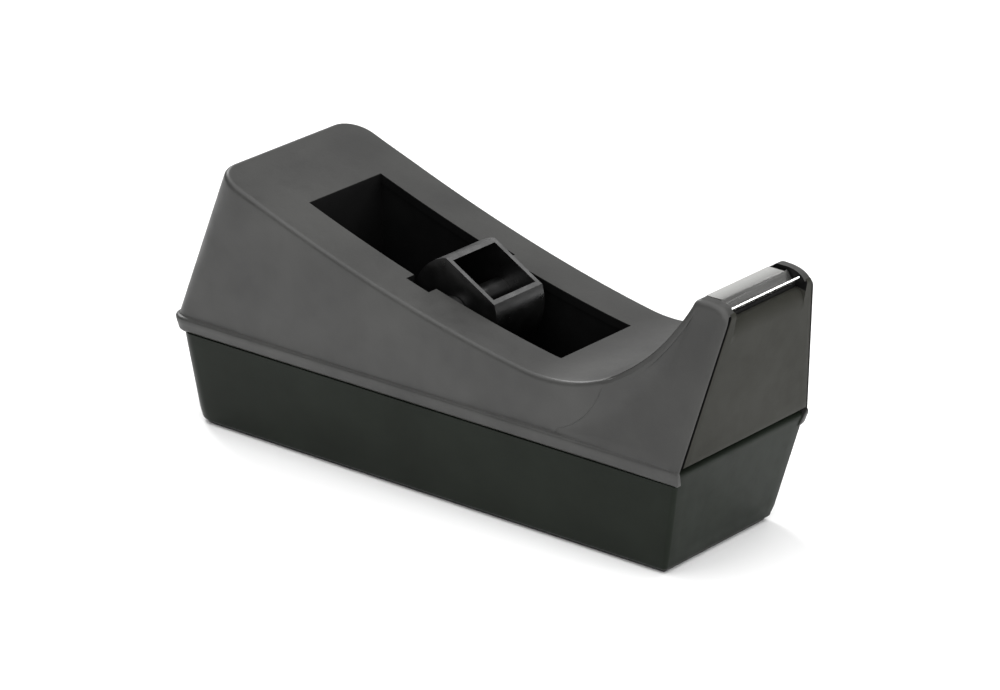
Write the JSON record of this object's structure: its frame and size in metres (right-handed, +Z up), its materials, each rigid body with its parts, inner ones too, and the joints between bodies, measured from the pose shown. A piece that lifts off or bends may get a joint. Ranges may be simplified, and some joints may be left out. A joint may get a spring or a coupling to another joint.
{
  "type": "tape dispenser",
  "caption": "Weighted desk tape dispenser with a sloping deck, an open tape well, a lift-out hub and a serrated cutter on a curved arm.",
  "frame": {"origin": "middle of the footprint of the whole object, on the underside of the pad", "axes": "+X towards the cutter, +Y to the left side seen from the rear, +Z up"},
  "size_m": [0.1572, 0.0518, 0.0666],
  "materials": {
    "housing": "fine satin texture",
    "panel": "satin",
    "tray": "semi-gloss",
    "liner": "matte",
    "hub": "satin",
    "ballast": "rough cast",
    "screws": "zinc plated",
    "pad": "closed-cell foam",
    "blade": "polished strip"
  },
  "bodies": {
    "base": {"upper_housing": "housing", "front_panel": "panel", "base_tray": "tray", "tape_well": "liner", "rear_ballast": "ballast", "front_ballast": "ballast", "ballast_screws": "screws", "housing_screws": "screws", "base_pad": "pad", "cutter_blade": "blade"},
    "spindle": {"hub_axle": "hub"},
    "drum": {"hub_drum": "hub"}
  },
  "joints": [
    {"name": "hub_lift", "type": "slide", "parent": "base", "child": "spindle", "axis": [-0.6947, 0, 0.7193], "range_m": [0, 0.06]},
    {"name": "hub_spin", "type": "hinge", "parent": "spindle", "child": "drum", "pos_m": [-0.00405, 0, 0.0423], "axis": [0, 1, 0], "continuous": true}
  ]
}
